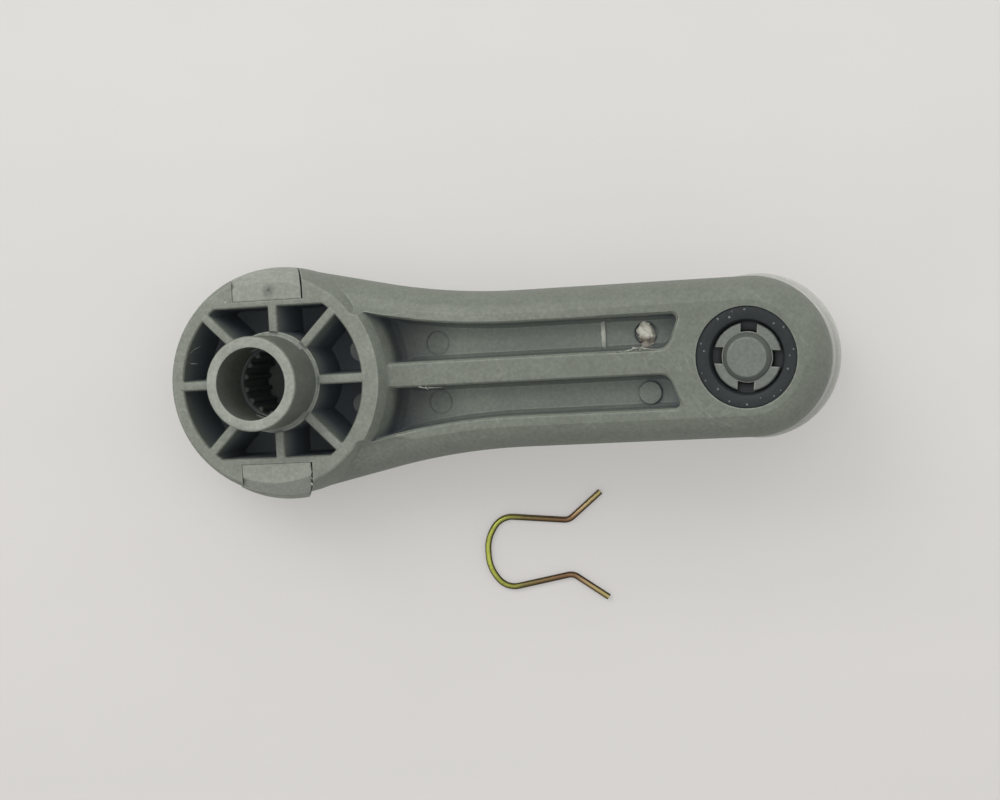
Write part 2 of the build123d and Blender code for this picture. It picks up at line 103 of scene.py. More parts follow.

# %% [markdown]
# ## The table
# A loose handle rests on the front edge of its hub and on the rounded end of its knob, so in its own frame
# the table slopes a little. The slope comes from the two places of contact: the line from the hub's edge to
# the centre of the knob's rounding, and a small angle more for the rounding itself. The table is a flat grid
# turned to that slope.

# %% Table plane
HUB_CONTACT_X = -0.0211
GRIP_END_INSET = 0.0008
KNOB_ROUNDING = 0.0036
TABLE_SIZE = 3.0

hub_low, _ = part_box("crank_arm")
knob_low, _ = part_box("knob")
rest_edge = Vector((HUB_CONTACT_X, 0, hub_low.z))
rounding_centre = Vector((knob_low.x + GRIP_END_INSET + KNOB_ROUNDING, 0, knob_low.z + KNOB_ROUNDING))
run = rounding_centre.x - rest_edge.x
drop = rest_edge.z - rounding_centre.z
slope = atan2(drop, run) + KNOB_ROUNDING / hypot(run, drop)
print("the table slopes by", round(degrees(slope), 2), "degrees")

table_mesh = bmesh.new()
bmesh.ops.create_grid(table_mesh, x_segments=8, y_segments=8, size=TABLE_SIZE)
bmesh.ops.rotate(table_mesh, verts=table_mesh.verts, matrix=Matrix.Rotation(slope, 3, "Y"))
bmesh.ops.translate(table_mesh, verts=table_mesh.verts, vec=rest_edge)


def finished(name, mesh_builder, smooth=True):
    """Turn a bmesh into an object that sits at the origin, with its place in its mesh."""
    mesh = bpy.data.meshes.new(name)
    mesh_builder.to_mesh(mesh)
    mesh_builder.free()
    if smooth:
        mesh.polygons.foreach_set("use_smooth", [True] * len(mesh.polygons))
    thing = bpy.data.objects.new(name, mesh)
    scene.collection.objects.link(thing)
    return thing


table = finished("table", table_mesh, smooth=False)

# %% [markdown]
# ## Colours
# Plastics and coatings are easier to judge in the 0 to 255 steps of a colour picker. Blender mixes light in
# linear values, so `tone` converts them, and `scaled` makes a colour darker or lighter.

# %% Colours


def tone(red, green, blue):
    """A picked colour as linear values, by the usual curve of screens."""
    def linear(step):
        part = step / 255
        return part / 12.92 if part <= 0.04045 else ((part + 0.055) / 1.055) ** 2.4

    return (linear(red), linear(green), linear(blue), 1.0)


def scaled(colour, share):
    """A colour made darker or lighter."""
    return tuple(min(1.0, part * share) for part in colour[:3]) + (1.0,)


WORN_AND_HIGHLIGHT = tone(152, 155, 145)
# the dark colour of painted shade in deep pockets
PAINTED_DEPTH_SHADE = tone(102, 110, 119)
DUST = tone(190, 190, 182)
print("worn plastic in linear values:", [round(part, 3) for part in WORN_AND_HIGHLIGHT[:3]])

# %% [markdown]
# ## Node helpers
# A finish is a tree of small nodes, most of which do sums on masks. `Board` is a thin wrapper: each call adds
# one node, fills its inputs with numbers or links, and hands back what comes out, so that a mask reads like a
# formula. Masks are mostly made by `step`, so many values further on are named ranges: where a step starts
# and ends, and at times what it gives there. A Mix node keeps its colour sockets behind those for numbers, so
# their places have names.

# %% Node board
COLUMN_WIDTH, ROW_DROP, COLUMNS = 220, -260, 8
MIX_FIRST, MIX_SECOND, MIX_RESULT = 6, 7, 2


class Board:
    """A node tree with short calls for adding nodes and links."""

    def __init__(self, tree):
        self.tree = tree
        self.count = 0

    def add(self, kind, inputs=None, **settings):
        """Add a node, set its properties, and fill its inputs with values or links."""
        made = self.tree.nodes.new(kind)
        made.location = (COLUMN_WIDTH * (self.count % COLUMNS), ROW_DROP * (self.count // COLUMNS))
        self.count += 1
        for key, value in settings.items():
            setattr(made, key, value)
        for key, value in (inputs or {}).items():
            if isinstance(value, bpy.types.NodeSocket):
                self.link(value, made.inputs[key])
            else:
                made.inputs[key].default_value = value
        return made

    def link(self, value, socket):
        """Join an output to an input."""
        self.tree.links.new(value, socket)

    def maths(self, operation, first, second=0.0, clamp=False):
        """One sum on two values."""
        made = self.add("ShaderNodeMath", {0: first, 1: second}, operation=operation, use_clamp=clamp)
        return made.outputs[0]

    def times(self, first, *others):
        """The product of two or more values."""
        for other in others:
            first = self.maths("MULTIPLY", first, other)
        return first

    def step(self, value, low, high, out_low=0.0, out_high=1.0):
        """Map a value from one range onto another, clamped. A named range is given with a star."""
        made = self.add("ShaderNodeMapRange", {0: value, 1: low, 2: high, 3: out_low, 4: out_high})
        return made.outputs[0]

    def between(self, mask, at_none, at_full):
        """A value that goes from one number to another as a mask goes from 0 to 1."""
        return self.step(mask, 0.0, 1.0, at_none, at_full)

    def blend(self, share, first, second, way="MIX"):
        """Mix two colours."""
        colours = {0: share, MIX_FIRST: first, MIX_SECOND: second}
        return self.add("ShaderNodeMix", colours, data_type="RGBA", blend_type=way).outputs[MIX_RESULT]

    def noise(self, vector, scale, detail=3.0, rough=0.55, twist=0.0):
        """Soft clouds, with their scale per metre."""
        made = self.add(
            "ShaderNodeTexNoise",
            {"Vector": vector, "Scale": scale, "Detail": detail, "Roughness": rough, "Distortion": twist},
        )
        return made.outputs[0]

    def split(self, vector):
        """The x, y and z of a place or a direction."""
        return self.add("ShaderNodeSeparateXYZ", {0: vector}).outputs[:3]

    def vectors(self, operation, *values):
        """A sum on vectors, which gives a vector and a value."""
        return self.add("ShaderNodeVectorMath", dict(enumerate(values)), operation=operation).outputs

    def normal(self):
        """The way that the surface faces."""
        return self.add("ShaderNodeNewGeometry").outputs["Normal"]

    def flattened(self, place):
        """A place with its height taken out, for distances from an upright axis."""
        return self.vectors("MULTIPLY", place, (1.0, 1.0, 0.0))["Vector"]

    def bump(self, height, distance, **others):
        """A bumped normal, with the height of its bumps in metres."""
        return self.add("ShaderNodeBump", {"Height": height, "Distance": distance, **others}).outputs[0]


print("board helpers:", ", ".join(name for name in vars(Board) if not name.startswith("_")))

# %% [markdown]
# Every finish starts from the same three nodes: one Principled shader, the material's output, and the
# object's own coordinates, which stay on the piece when it moves. A shared effect is a group of nodes with
# named sockets, made once and placed in each material with its own values.

# %% Materials and groups
FLOAT, VECTOR = "NodeSocketFloat", "NodeSocketVector"


def fresh_material(name):
    """An empty material with its board, its one Principled shader and the places on its object."""
    material = bpy.data.materials.new(name)
    material.use_nodes = True
    material.node_tree.nodes.clear()
    board = Board(material.node_tree)
    shader = board.add("ShaderNodeBsdfPrincipled")
    board.add("ShaderNodeOutputMaterial", {"Surface": shader.outputs[0]})
    place = board.add("ShaderNodeTexCoord").outputs["Object"]
    return material, board, shader, place


def new_group(name, inputs, outputs):
    """An empty shader node group with its sockets, and its board, inlet and outlet."""
    tree = bpy.data.node_groups.new(name, "ShaderNodeTree")
    for label, kind, value in inputs:
        socket = tree.interface.new_socket(name=label, in_out="INPUT", socket_type=kind)
        if value is not None:
            socket.default_value = value
    for label, kind in outputs:
        tree.interface.new_socket(name=label, in_out="OUTPUT", socket_type=kind)
    print("new group", name, "gives", ", ".join(label for label, kind in outputs))
    board = Board(tree)
    return tree, board, board.add("NodeGroupInput"), board.add("NodeGroupOutput")


def use_group(board, group, place=None, **values):
    """Add a shared effect to a material, with its own values."""
    made = board.add("ShaderNodeGroup", values, node_tree=group)
    if place is not None:
        board.link(place, made.inputs["Vector"])
    return made.outputs


print("kinds of socket:", FLOAT, "and", VECTOR)

# %% [markdown]
# ## Shared effects
# Moulded plastic has a fine grain that the steel mould leaves, and wider mottling where it cooled unevenly.
# Noises of several scales give both. The groups put out only heights, masks and normals, and the shader
# stays in each material.

# %% Grain group
WAVE_SHARE = 0.3
CLOSE_SHARE, WIDE_SHARE = 0.45, 0.55
MOTTLE_CUT, SPECKLE_CUT = (0.38, 0.62), (0.36, 0.64)

grain_group, board, inlet, outlet = new_group(
    "mould_grain",
    [("Vector", VECTOR, None), ("Grain", FLOAT, 2500.0)],
    [("Height", FLOAT), ("Mottle", FLOAT), ("Speckle", FLOAT)],
)
place, grain_scale = inlet.outputs[:2]
fine = board.noise(place, grain_scale, rough=0.6)
waves = board.noise(place, 160.0, detail=2.0, rough=0.5)
height = board.maths("ADD", board.times(waves, WAVE_SHARE), fine)
wide = board.noise(place, 95.0, detail=5.0, rough=0.65, twist=0.5)
close = board.noise(place, 620.0, detail=4.0, rough=0.7)
clouds = board.maths("ADD", board.times(close, CLOSE_SHARE), board.times(wide, WIDE_SHARE))
mottle = board.step(clouds, *MOTTLE_CUT)
speckle = board.step(board.noise(place, 1400.0, detail=2.0, rough=0.6), *SPECKLE_CUT)
for value, socket in zip((height, mottle, speckle), outlet.inputs):
    board.link(value, socket)

# %% [markdown]
# Scuffs are long and thin, so a noise is stretched hard along one way and cut off near its top. Three ways
# laid over each other keep it from looking combed, and patches keep it from covering everything. Each row
# gives a turn, a length and a width.

# %% Scuff group
SCUFF_WAYS = ((0.45, 0.0045, 0.0005), (-0.8, 0.0040, 0.0004), (1.9, 0.0050, 0.0005))
SCUFF_DEPTH = 0.002
SCUFF_CUT, PATCH_CUT = (0.60, 0.74), (0.46, 0.66)

scuff_group, board, inlet, outlet = new_group(
    "handling_scuffs",
    [("Vector", VECTOR, None), ("Amount", FLOAT, 0.3)],
    [("Mask", FLOAT)],
)
place, amount = inlet.outputs[:2]
masks = []
for turned, length, width in SCUFF_WAYS:
    mapped = board.add(
        "ShaderNodeMapping",
        {"Vector": place, "Rotation": (0, 0, turned), "Scale": (length, width, SCUFF_DEPTH)},
        vector_type="TEXTURE",
    )
    line = board.noise(mapped.outputs[0], 1.0, detail=2.0, rough=0.5, twist=0.3)
    masks.append(board.step(line, *SCUFF_CUT))
patches = board.step(board.noise(place, 110.0), *PATCH_CUT)
any_way = board.maths("MAXIMUM", board.maths("MAXIMUM", masks[0], masks[1]), masks[2])
board.link(board.times(any_way, patches, amount), outlet.inputs["Mask"])

# %% [markdown]
# Dust is a scatter of tiny specks: a cell texture gives each cell a random value, and only the few highest
# keep their dot. The places are bent by a noise first, which takes the roundness out of the dots, and a soft
# cloud thins them out, so that they gather here and there.

# %% Dust group
CELLS_PER_M = 1100.0
DOT_EDGE = (0.05, 0.30, 1.0, 0.0)
KEPT_CELLS, GATHERING_CUT = (0.90, 0.96), (0.45, 0.7)

dust_group, board, inlet, outlet = new_group(
    "dust_specks",
    [("Vector", VECTOR, None), ("Amount", FLOAT, 0.5)],
    [("Mask", FLOAT)],
)
place, amount = inlet.outputs[:2]
swirls = board.add("ShaderNodeTexNoise", {"Vector": place, "Scale": 900.0}).outputs["Color"]
bent = board.vectors("MULTIPLY_ADD", place, swirls, place)["Vector"]
cells = board.add("ShaderNodeTexVoronoi", {"Vector": bent, "Scale": CELLS_PER_M, "Randomness": 1.0})
dot = board.step(cells.outputs["Distance"], *DOT_EDGE)
cell_value = board.add("ShaderNodeSeparateColor", {0: cells.outputs["Color"]}).outputs[0]
gathered = board.step(board.noise(place, 130.0), *GATHERING_CUT)
board.link(board.times(dot, board.step(cell_value, *KEPT_CELLS), gathered, amount), outlet.inputs["Mask"])

# %% [markdown]
# Edges of a moulding are never knife sharp, and they catch light and rub pale. A Bevel node gives the rounded
# normal, and where that leans away from the true normal there is an edge, so the same node also gives the
# mask for the pale line, which is partly wear and partly a painted highlight.

# %% Edge group
EDGE_ROUNDING = 0.0005
EDGE_LEAN = (0.995, 0.80)

edge_rub_and_highlight_group, board, inlet, outlet = new_group(
    "rubbed_and_highlit_edges",
    [("Radius", FLOAT, EDGE_ROUNDING), ("Strength", FLOAT, 1.0)],
    [("Mask", FLOAT), ("Normal", VECTOR)],
)
radius, strength = inlet.outputs[:2]
rounded = board.add("ShaderNodeBevel", {"Radius": radius}, samples=6).outputs[0]
lean = board.vectors("DOT_PRODUCT", rounded, board.normal())["Value"]
rubbed_and_highlit_line = board.maths("MULTIPLY", board.step(lean, *EDGE_LEAN), strength, clamp=True)
board.link(rubbed_and_highlit_line, outlet.inputs["Mask"])
board.link(rounded, outlet.inputs["Normal"])

# %% [markdown]
# Deep pockets get painted shade: the less open a place is, the more its colour turns to one dark colour, and
# the dark plastic swallows what little light gets down there. An ambient occlusion node measures how open a
# place is, over about the depth of a pocket.

# %% Shelter group
POCKET_REACH = 0.012
SHELTERED_TO_OPEN = (0.04, 0.42)

shelter_group, board, inlet, outlet = new_group(
    "sheltered_depths",
    [("Reach", FLOAT, POCKET_REACH)],
    [("Open", FLOAT)],
)
hidden = board.add("ShaderNodeAmbientOcclusion", {"Distance": inlet.outputs[0]}, samples=6)
board.link(board.step(hidden.outputs["AO"], *SHELTERED_TO_OPEN), outlet.inputs["Open"])

# %% [markdown]
# What stands highest rubs on the door's panel and turns paler: the mouth of the boss most, then the rim and
# the pads beside it. One long edge of the arm's back gets a painted highlight, less and less towards the
# knob. The mask asks how high a place is, whether it faces the door, and how far along and across the arm it
# lies.

# %% High spots group
LOWEST_RUBBED, FULLY_RUBBED = height_at(-3.7), height_at(0.3)
RIM_FADES_ALONG = (0.035, 0.080, 0.55, 0.0)
EDGE_LEVELS, EDGE_ACROSS = (height_at(-5.0), height_at(-3.5)), (0.0060, 0.0110)
EDGE_FADES_ALONG = (0.040, 0.085, 0.5, 0.0)
MOUTH_LEVELS = (height_at(5.5), height_at(11.0), 0.0, 0.6)
FACING_DOOR = (0.80, 0.97)
UNEVEN_RUB = (0.35, 0.65, 0.55, 1.0)

rub_and_highlight_group, board, inlet, outlet = new_group(
    "rubbed_and_highlit_high_spots",
    [("Vector", VECTOR, None), ("Low", FLOAT, LOWEST_RUBBED), ("High", FLOAT, FULLY_RUBBED)],
    [("Mask", FLOAT)],
)
place, low, high = inlet.outputs[:3]
along, across, level = board.split(place)
facing = board.split(board.normal())[2]
rim_and_pads = board.times(board.step(level, low, high), board.step(along, *RIM_FADES_ALONG))
# painted highlight along one long edge of the arm's back
highlit_long_edge = board.times(
    board.step(level, *EDGE_LEVELS), board.step(across, *EDGE_ACROSS), board.step(along, *EDGE_FADES_ALONG)
)
boss_mouth = board.step(level, *MOUTH_LEVELS)
rub_and_highlight = board.maths("ADD", board.maths("MAXIMUM", rim_and_pads, highlit_long_edge), boss_mouth)
uneven = board.step(board.noise(place, 240.0, detail=5.0, rough=0.7), *UNEVEN_RUB)
board.link(board.times(rub_and_highlight, board.step(facing, *FACING_DOOR), uneven), outlet.inputs["Mask"])

# %% [markdown]
# ## Painted light and shade along the arm
# On the real arm the sunken floors look nearly as pale as the back, although less light gets to them, so they
# are given painted light. The corners of the channels next to the hub and the side of the boss get painted
# shade, and so does a thin ring round each ejector pin's mark in a floor, standing in for the shade at its
# edge. All of that follows the arm's shape, so it is worked out from places on the object, and it comes out
# as one factor for the colour.

# %% Arm shades
EJECTOR_MARKS = [mm(32.4, 6.0, 0), mm(32.4, -5.9, 0), mm(75.3, 5.6, 0), mm(75.7, -6.1, 0)]
MARK_RADIUS, MARK_LINE = 0.00232, (0.00030, 0.00012)
SUNKEN_LEVELS = (height_at(-4.5), height_at(-6.5))
FLOORS_FROM, FLOOR_FACING = (0.026, 0.038), (0.80, 0.95)
CORNER_FROM, CORNER_TO, CORNER_ACROSS = (-0.004, 0.014), (0.037, 0.025), (0.0126, 0.0116)
BOSS_RADIUS, WALL_FACING = (0.0108, 0.0104), (0.6, 0.3)
CORNER_SHADE, BOSS_SHADE, LINE_SHADE = 0.30, 0.78, 0.62


def arm_shades(board, place, floors):
    """How many times as pale each place of the arm is, from painted light and shade, with `floors` for the
    sunken floors.
    """
    along, across, level = board.split(place)
    facing = board.split(board.normal())[2]
    sunken = board.step(level, *SUNKEN_LEVELS)
    # painted light: the sunken floors are made paler by `floors`
    floor = board.times(sunken, board.step(facing, *FLOOR_FACING), board.step(along, *FLOORS_FROM))
    within_arm = board.step(board.maths("ABSOLUTE", across), *CORNER_ACROSS)
    # painted shade in the channel corners next to the hub
    by_hub = board.times(board.step(along, *CORNER_FROM), board.step(along, *CORNER_TO))
    corner = board.times(by_hub, within_arm, sunken)
    shade = board.times(board.between(floor, 1.0, floors), board.between(corner, 1.0, CORNER_SHADE))
    flat_place = board.flattened(place)
    from_spindle = board.vectors("LENGTH", flat_place)["Value"]
    # painted shade on the side wall of the boss
    boss_wall = board.times(board.step(from_spindle, *BOSS_RADIUS), board.step(facing, *WALL_FACING))
    shade = board.times(shade, board.between(boss_wall, 1.0, BOSS_SHADE))
    # painted shade: a thin dark ring round each mark
    for centre in EJECTOR_MARKS:
        away = board.vectors("DISTANCE", flat_place, centre)["Value"]
        off_line = board.maths("ABSOLUTE", board.maths("SUBTRACT", away, MARK_RADIUS))
        line = board.times(board.step(off_line, *MARK_LINE), sunken)
        shade = board.times(shade, board.between(line, 1.0, LINE_SHADE))
    return shade


print("ejector marks:", len(EJECTOR_MARKS))

# %% [markdown]
# Two more helpers add a mark to a finished colour: a darker spot round one point, and painted shade that
# starts at some distance from the knob's axis, such as the inside of the bush.

# %% Smudge and ring
SMUDGE_COLOUR = tone(70, 73, 70)
SMUDGE_FADE = (0.0007, 0.0017, 0.42, 0.0)
RING_SHARE = 0.85


def smudged(board, place, colour, centre):
    """A colour with a darker spot round one point."""
    away = board.vectors("DISTANCE", place, centre)["Value"]
    return board.blend(board.step(away, *SMUDGE_FADE), colour, SMUDGE_COLOUR)


def ringed(board, place, colour, start, end, dark):
    """A colour with painted shade between two distances from the knob's axis."""
    away = board.vectors("DISTANCE", board.flattened(place), mm(*KNOB_AXIS, 0))["Value"]
    return board.blend(board.step(away, start, end, 0.0, RING_SHARE), colour, dark)


print("smudges reach", SMUDGE_FADE[1], "m from their centre")

# %% [markdown]
# ## Moulded plastic
# One function makes every plastic of the handle from these groups: a base colour with mottling, pale heights
# from wear with a painted highlight along one edge of the arm, pale edges from wear and painted highlight,
# scuffs, dust, and depths darkened as painted shade. The roughness follows the same marks, so that scuffed
# places look dull. Floors lie too deep to be scuffed, so on the arm the scuffs stop above them.

# %% Plastic
PLASTIC_IOR = 1.46
EDGE_RUB_AND_HIGHLIGHT_GAIN, SCUFF_GAIN = 1.3, 1.2
DULLING, RIPPLE, RUB_DULLING = 0.2, 0.12, 0.5
SCUFFED_LEVELS = (height_at(-6.0), height_at(-4.0))


def moulded_plastic(name, colour, worn_and_highlight=WORN_AND_HIGHLIGHT, rough=0.5, depth=0.00002, mottle=0.085, rub_and_highlight=1.0, scuffs=0.3,
                    dust=0.3, edges=0.7, deep=PAINTED_DEPTH_SHADE, shine=0.3, floors=None, smudge=None, ring=None):
    """A grained plastic. The depth of its grain is in metres, and `floors` is for the arm alone."""
    material, board, shader, place = fresh_material(name)
    grain = use_group(board, grain_group, place)
    scuff = use_group(board, scuff_group, place, Amount=scuffs)["Mask"]
    specks = use_group(board, dust_group, place, Amount=dust)["Mask"]
    edge = use_group(board, edge_rub_and_highlight_group, Strength=edges)
    open_share = use_group(board, shelter_group)["Open"]
    high = board.times(use_group(board, rub_and_highlight_group, place)["Mask"], rub_and_highlight)

    scratched = board.times(scuff, open_share)
    shade = board.times(
        board.between(grain["Mottle"], 1 - mottle, 1 + mottle),
        board.between(grain["Speckle"], 1 - mottle, 1 + mottle),
    )
    if floors is not None:
        level = board.split(place)[2]
        scratched = board.times(scratched, board.step(level, *SCUFFED_LEVELS))
        shade = board.times(shade, arm_shades(board, place, floors))
    # pale high spots: wear, and a painted highlight along one long edge of the arm
    base = board.blend(high, colour, worn_and_highlight)
    # pale edges: partly wear, partly a painted highlight
    base = board.blend(board.times(edge["Mask"], open_share), base, scaled(worn_and_highlight, EDGE_RUB_AND_HIGHLIGHT_GAIN))
    base = board.blend(scratched, base, scaled(worn_and_highlight, SCUFF_GAIN))
    grey = board.add("ShaderNodeCombineColor", {0: shade, 1: shade, 2: shade}).outputs[0]
    # painted shade: sheltered places turn towards the dark colour of the depths
    base = board.blend(open_share, deep, board.blend(1.0, base, grey, way="MULTIPLY"))
    base = board.blend(specks, base, DUST)
    if smudge is not None:
        base = smudged(board, place, base, smudge)
    if ring is not None:
        base = ringed(board, place, base, *ring)

    marks = board.maths("MAXIMUM", scuff, board.times(high, RUB_DULLING))
    roughness = board.between(marks, rough, min(1.0, rough + DULLING))
    ripple = board.times(board.maths("SUBTRACT", grain["Mottle"], 0.5), RIPPLE)
    board.link(base, shader.inputs["Base Color"])
    board.link(board.maths("ADD", roughness, ripple, clamp=True), shader.inputs["Roughness"])
    board.link(board.bump(grain["Height"], depth, Normal=edge["Normal"]), shader.inputs["Normal"])
    shader.inputs["IOR"].default_value = PLASTIC_IOR
    shader.inputs["Specular IOR Level"].default_value = shine
    return material


def finish_node(name, material):
    """Give a ready-made part its finish."""
    mesh = nodes[name].data
    mesh.materials.clear()
    mesh.materials.append(material)
    print(name, "is", material.name)


print("the plastics bend light by", PLASTIC_IOR)

# %% [markdown]
# The arm, knob and pin are nearly one grey green, and the insert down in the boss is painted darker, as
# shade. The cap is paler and has a darker spot, the bush is almost black with a finer grain, and the trim
# ring is a pale grey with hardly any marks. A ring of painted shade, inside the bush and on the pin's
# shoulder, is given by where it starts, where it ends and its colour.

# %% Finishes of the moulded parts
MOULDED = {
    "crank_arm": moulded_plastic("arm_plastic", tone(112, 117, 107), floors=1.5),
    # painted shade: the insert down in the boss is given a darker colour
    "spline_insert": moulded_plastic(
        "insert_plastic", tone(84, 88, 84), rough=0.4, edges=0.2, scuffs=0.1, dust=0.1
    ),
    "hub_cap": moulded_plastic("cap_plastic", tone(140, 144, 134), rough=0.55, smudge=at(0.4, 18.4, 0)),
    "pivot_bush": moulded_plastic(
        "bush_plastic", tone(46, 50, 51), tone(66, 70, 70), rough=0.42, mottle=0.07, edges=0.2,
        scuffs=0.12, dust=0.5, depth=0.000006, rub_and_highlight=0.25, deep=tone(24, 27, 30), shine=0.22,
        # painted shade inside the bush's recess
        ring=(0.0061, 0.0053, tone(12, 14, 14)),
    ),
    "knob": moulded_plastic("knob_plastic", tone(112, 117, 110), rough=0.45, rub_and_highlight=0.7, depth=0.000008),
    "knob_pin": moulded_plastic(
        "pin_plastic", tone(108, 113, 106), rough=0.45, depth=0.000008,
        # painted shade on the pin's shoulder
        ring=(0.0037, 0.0040, tone(80, 84, 79)),
    ),
    "knob_trim_ring": moulded_plastic(
        "trim_plastic", tone(186, 186, 179), tone(196, 196, 189), rough=0.35, mottle=0.03, edges=0.1,
        scuffs=0.1, dust=0.05, depth=0.000004, deep=tone(120, 120, 116),
    ),
}
for name, plastic in MOULDED.items():
    finish_node(name, plastic)

# %% [markdown]
# ## Yellow chromate on the clip
# The clip is spring wire with a thin chromate coat, whose colour depends on its thickness: lime and gold on
# the bow, browner on the legs, and olive gold at the ends. A colour ramp along the clip gives that order, and
# clouds and specks break it up. Each row is a share of the clip's length and the colour there.

# %% Chromate colours
COAT = (
    (0.00, tone(182, 192, 90)),
    (0.14, tone(152, 158, 76)),
    (0.34, tone(112, 102, 66)),
    (0.66, tone(112, 84, 66)),
    (0.80, tone(160, 130, 100)),
    (1.00, tone(160, 148, 92)),
)
CLOUD_SHIFT = 0.22
SPECK_CUT, SPECK_SHARE = (0.58, 0.72), 0.45

clip_low, clip_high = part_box("retaining_clip")
chromate, board, shader, place = fresh_material("clip_chromate")
along = board.split(place)[0]
cloudy = board.noise(place, 260.0, rough=0.6, twist=0.6)
share = board.step(along, clip_low.x, clip_high.x)
share = board.maths("ADD", share, board.times(board.maths("SUBTRACT", cloudy, 0.5), CLOUD_SHIFT))
ramp = board.add("ShaderNodeValToRGB", {0: share})
stops = ramp.color_ramp.elements
stops[0].color, stops[1].color = COAT[0][1], COAT[-1][1]
for position, colour in COAT[1:-1]:
    stops.new(position).color = colour
specks = board.step(board.noise(place, 1500.0, detail=2.0), *SPECK_CUT)
coat = board.blend(board.times(specks, SPECK_SHARE), ramp.outputs[0], tone(92, 78, 50))
print("the coat has", len(stops), "colours over", round(clip_high.x - clip_low.x, 4), "m")

# %% [markdown]
# Round wire mirrors the pale surroundings only where it faces up. So the coat is painted darker down its
# sides as painted shade, and a bright line of painted highlight runs along the top of the ends. It is a
# metal, so the colour sits in the reflection.

# %% Painted shade and highlight on the wire
PAINTED_LIGHT_WAY = (0.12, 0.18, 0.975)
PAINTED_HIGHLIGHT_COLOUR = tone(196, 186, 140)
SIDES_TO_TOP, PAINTED_HIGHLIGHT_LINE = (0.62, 0.90), (0.90, 0.98)
HIGHLIT_ENDS = (clip_low.x + 0.018, clip_low.x + 0.021, 0.06, 0.5)
COAT_ROUGHNESS = (0.3, 0.7, 0.22, 0.38)

lit = board.vectors("DOT_PRODUCT", board.normal(), PAINTED_LIGHT_WAY)["Value"]
# painted shade down the sides of the wire
sides = board.blend(0.5, tone(40, 36, 22), tone(70, 62, 40))
coat = board.blend(board.step(lit, *SIDES_TO_TOP), sides, coat)
# painted highlight along the top of the ends
shine = board.times(board.step(lit, *PAINTED_HIGHLIGHT_LINE), board.step(along, *HIGHLIT_ENDS))
board.link(board.blend(shine, coat, PAINTED_HIGHLIGHT_COLOUR), shader.inputs["Base Color"])
shader.inputs["Metallic"].default_value = 1.0
board.link(board.step(cloudy, *COAT_ROUGHNESS), shader.inputs["Roughness"])
board.link(board.bump(board.noise(place, 3200.0, detail=2.0), 0.000004), shader.inputs["Normal"])
finish_node("retaining_clip", chromate)

# %% [markdown]
# ## Small marks of moulding
# These stand on the ready-made parts and are too small to matter to how the handle works. `lump` adds one
# rounded drop to a growing mesh, and `flake` one pointed thin sliver, and both are set in millimetres.

# %% Lumps and flakes
FLAKE_SIDES, FLAKE_TAPER = 6, 6
LUMP_NOISE = 1.7


def lump(builder, centre, radii, roughness=0.0, turn=0.0, detail=2):
    """A rounded drop. Roughness pushes its points in and out by that share of its size."""
    made = bmesh.ops.create_icosphere(builder, subdivisions=detail, radius=1.0)["verts"]
    for vert in made:
        push = 1 + roughness * noise.noise(vert.co * LUMP_NOISE + Vector(centre))
        vert.co = Vector(r * v * push for r, v in zip(radii, vert.co)) / 1000
    bmesh.ops.rotate(builder, verts=made, matrix=Matrix.Rotation(turn, 3, "Z"))
    bmesh.ops.translate(builder, verts=made, vec=at(*centre))


def flake(builder, base, tip, width, thick):
    """A thin pointed sliver from its base to its tip."""
    root, point = at(*base), at(*tip)
    along = point - root
    root_radius = width / 2000
    made = bmesh.ops.create_cone(
        builder, cap_ends=True, segments=FLAKE_SIDES, radius1=root_radius, radius2=root_radius / FLAKE_TAPER,
        depth=along.length,
    )["verts"]
    bmesh.ops.scale(builder, verts=made, vec=(1, thick / width, 1))
    bmesh.ops.rotate(builder, verts=made, matrix=along.to_track_quat("Z", "Y").to_matrix())
    bmesh.ops.translate(builder, verts=made, vec=(root + point) / 2)


def added(name, builder, material, body="arm_body"):
    """Finish a piece, give it its material, and let it move with its body."""
    piece = finished(name, builder)
    piece.data.materials.append(material)
    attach(piece, body)
    print("added", name, "with", len(piece.data.polygons), "faces")


print("a flake has", FLAKE_SIDES, "sides")

# %% [markdown]
# Where the plastic was fed into the mould, its runner was broken off and left a glossy pale stump in a
# shallow round hole, with duller torn plastic beside it. A few rough drops that run into each other give
# that broken look. Each row is a drop: its centre, its three radii, its roughness, its turn and its detail.

# %% Gate stump
DROPS = (
    ((75.2, 6.1, -10.5), (1.6, 1.75, 1.1), 0.35, 0.4, 4),
    ((75.9, 4.7, -10.5), (1.3, 1.2, 0.8), 0.5, -0.3, 4),
    ((74.8, 4.9, -10.6), (1.0, 0.9, 0.7), 0.5, 0.0, 3),
    ((75.6, 3.5, -10.2), (1.3, 0.7, 0.6), 0.6, 0.2, 4),
)
TORN_SIDE, TORN_SHARE = (0.0052, 0.0046), 0.75
TORN_CLOUDS = (0.5, 0.75, 0.0, 0.4)
GLOSSY, DULL = 0.16, 0.45

stump_finish, board, shader, place = fresh_material("gate_stump")
cloudy = board.noise(place, 900.0, detail=4.0, rough=0.6, twist=0.8)
torn_side = board.times(board.step(board.split(place)[1], *TORN_SIDE), TORN_SHARE)
torn = board.maths("ADD", torn_side, board.step(cloudy, *TORN_CLOUDS), clamp=True)
board.link(board.blend(torn, tone(246, 243, 226), tone(112, 102, 92)), shader.inputs["Base Color"])
board.link(board.between(torn, GLOSSY, DULL), shader.inputs["Roughness"])
board.link(board.bump(cloudy, 0.00025), shader.inputs["Normal"])

builder = bmesh.new()
for drop_shape in DROPS:
    lump(builder, *drop_shape)
added("gate_stump", builder, stump_finish)

# %% [markdown]
# The bush's flange carries a ring of tiny pips from vent pins in its mould. They are uneven, so their places
# come from a fixed pattern that wanders in radius and angle. They are much paler than the bush, as painted
# highlights.

